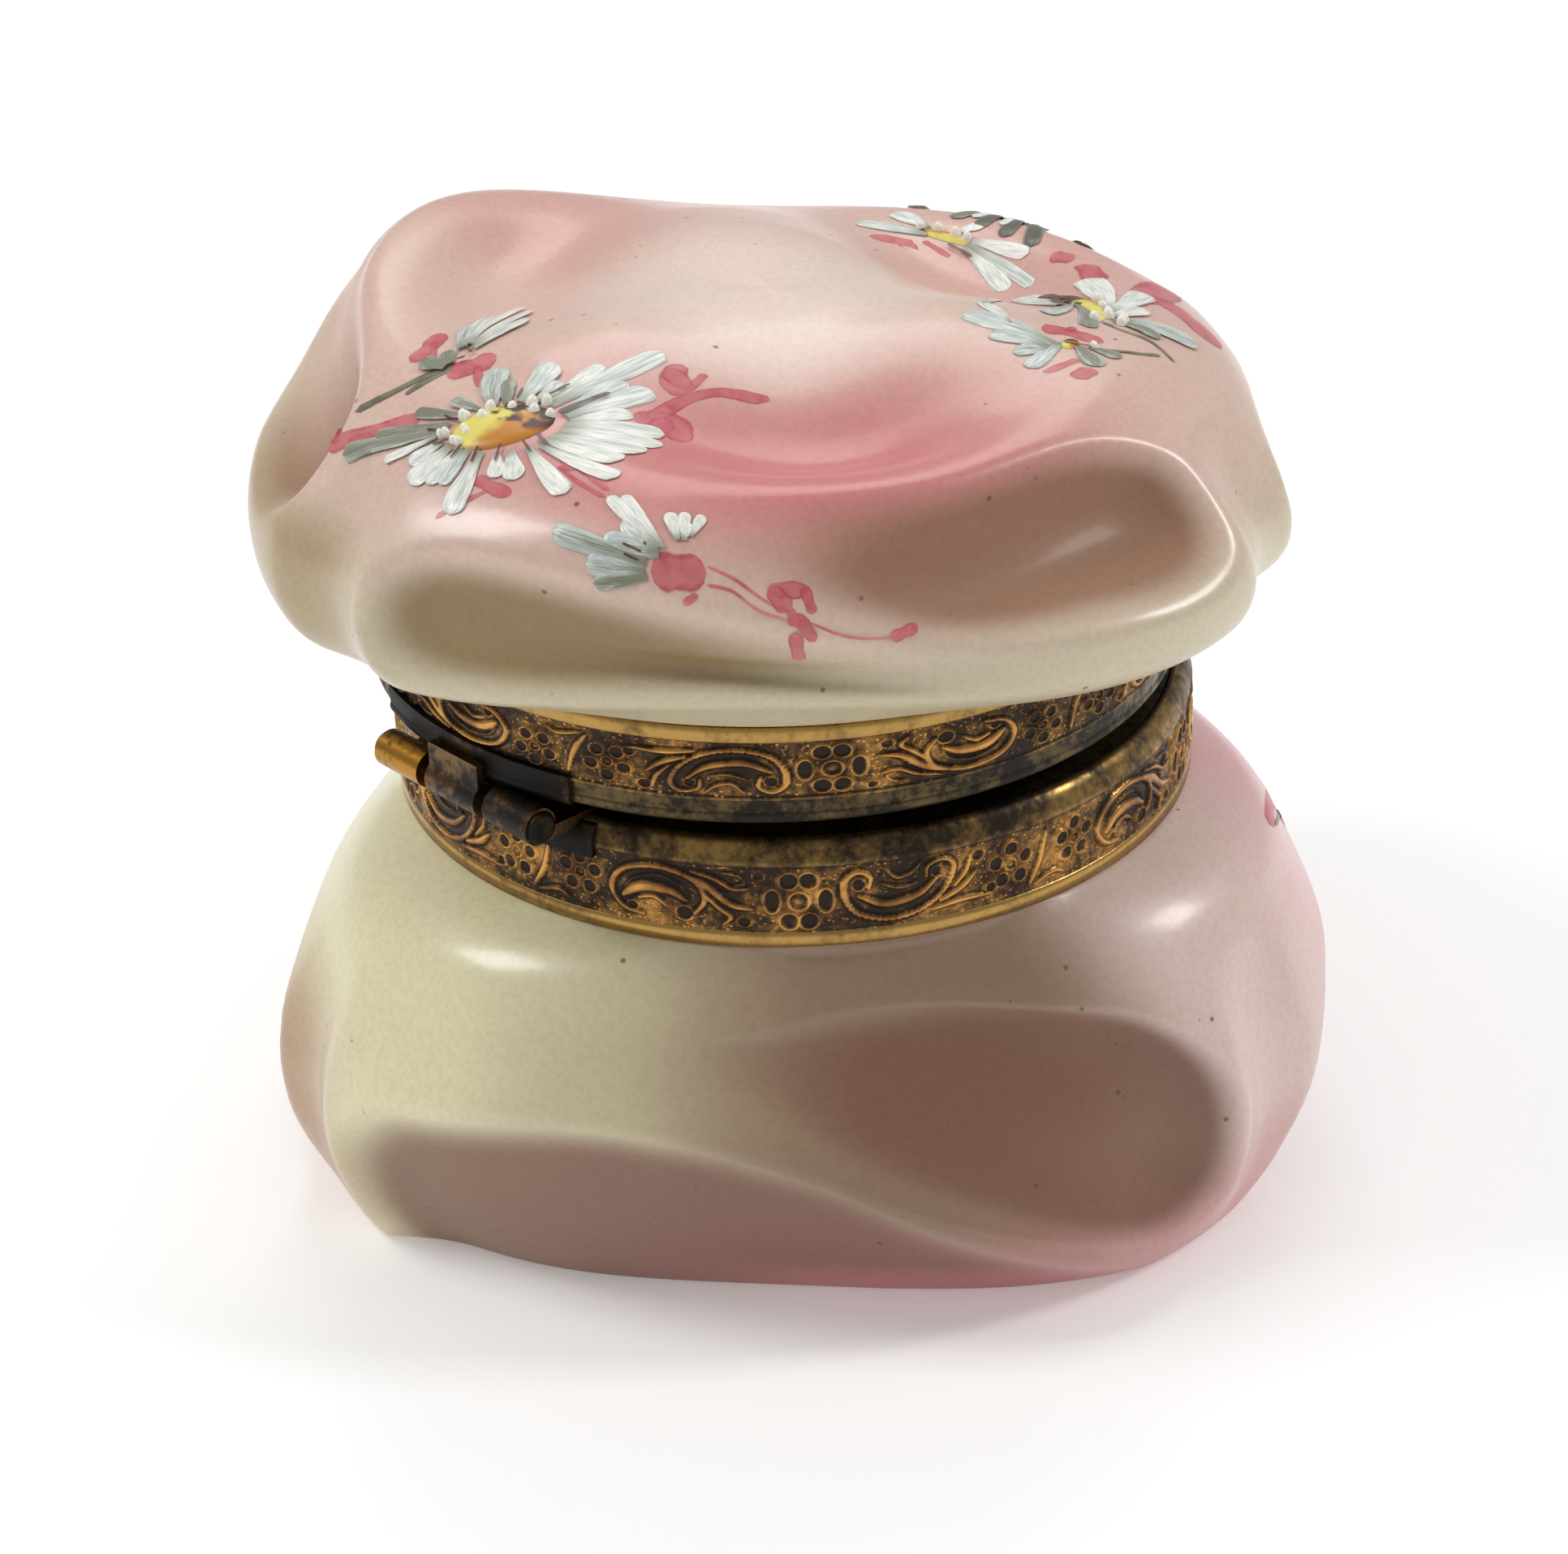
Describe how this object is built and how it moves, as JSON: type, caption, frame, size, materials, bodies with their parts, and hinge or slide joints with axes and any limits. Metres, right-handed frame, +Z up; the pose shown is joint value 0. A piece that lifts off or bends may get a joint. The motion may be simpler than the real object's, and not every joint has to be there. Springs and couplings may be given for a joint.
{
  "type": "powder jar",
  "caption": "Hinged powder jar: swirl-moulded opal glass bowl and domed lid, painted with daisies, in embossed gilt brass collars joined by a three-knuckle hinge.",
  "frame": {"origin": "middle of the flat foot, on the axis of the bowl's collar", "axes": "+Z up out of the bowl, +Y towards the hinge, hinge axis along X"},
  "size_m": [0.0817, 0.0833, 0.0725],
  "materials": {
    "opal_glass": "satin opal glass with fired paint",
    "plaster": null,
    "gilt_brass": "embossed, gilt and patinated",
    "dark_brass": "dark patinated brass",
    "rim_brass": "plain worn brass",
    "hinge_brass": "dark worn brass with solder",
    "pin_brass": "dark brass wire"
  },
  "bodies": {
    "base": {"base_bowl": "opal_glass", "base_plaster_bed": "plaster", "base_collar_band": "gilt_brass", "base_register_neck": "dark_brass", "base_hinge_leaf": "hinge_brass", "base_knuckle_left": "hinge_brass", "base_knuckle_right": "hinge_brass", "hinge_pin": "pin_brass"},
    "lid": {"lid_dome": "opal_glass", "lid_plaster_bed": "plaster", "lid_collar_band": "gilt_brass", "lid_rim_ring": "rim_brass", "lid_hinge_leaf": "hinge_brass", "lid_knuckle_middle": "hinge_brass"}
  },
  "joints": [
    {"name": "lid_hinge", "type": "hinge", "parent": "base", "child": "lid", "pos_m": [0, 0.0332, 0.0408], "axis": [-1, 0, 0], "range_deg": [0, 105]}
  ]
}
